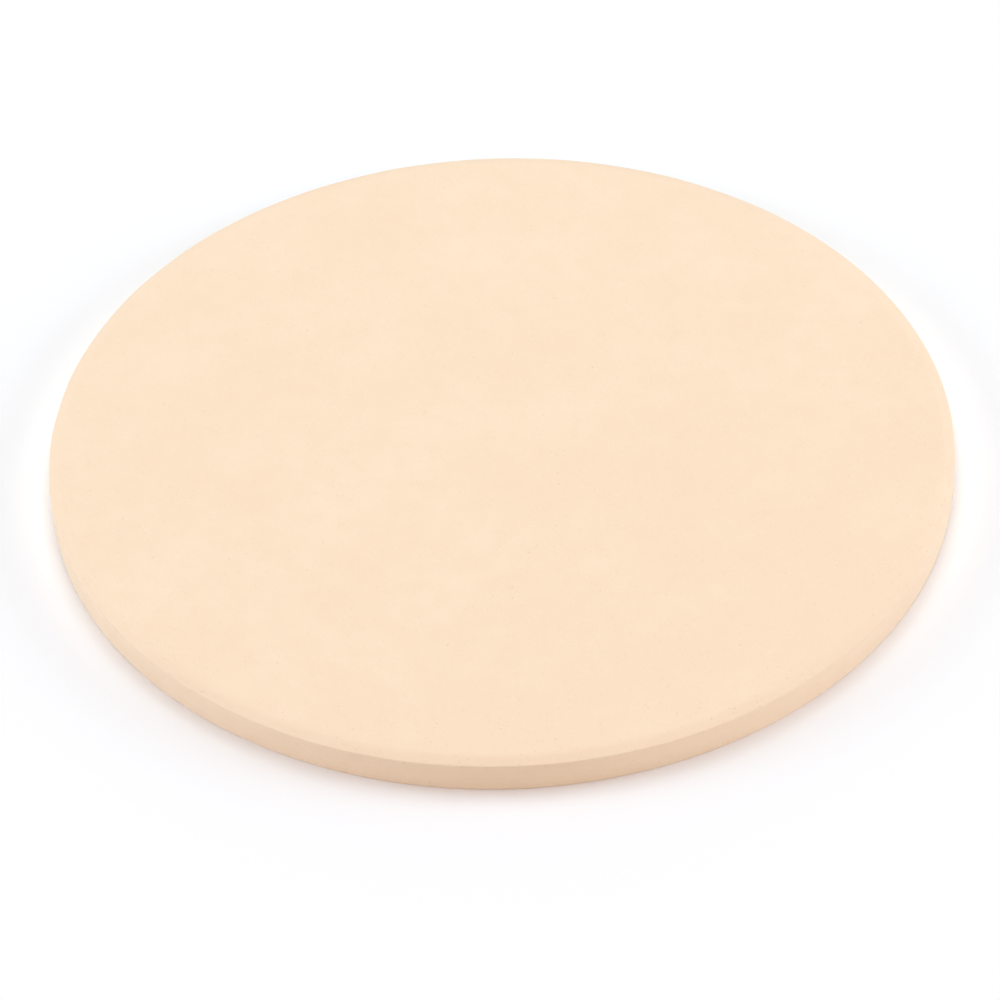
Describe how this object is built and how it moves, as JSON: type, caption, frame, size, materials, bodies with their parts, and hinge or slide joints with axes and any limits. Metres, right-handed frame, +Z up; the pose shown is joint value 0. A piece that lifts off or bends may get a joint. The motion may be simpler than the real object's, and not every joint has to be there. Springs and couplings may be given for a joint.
{
  "type": "pizza stone",
  "caption": "Round flat baking stone of unglazed fired clay, with a bevelled rim, an upright wall and a plain flat underside",
  "frame": {"origin": "centre of the underside, on the plane the stone rests on", "axes": "+Z up, through the middle of the disc and square to the baking face; X and Y are free, because the disc is the same all the way round"},
  "size_m": [0.33, 0.33, 0.013],
  "materials": {
    "stone": "unglazed, matte, faintly mottled cream"
  },
  "bodies": {
    "root": {"stone": "stone"}
  },
  "joints": []
}
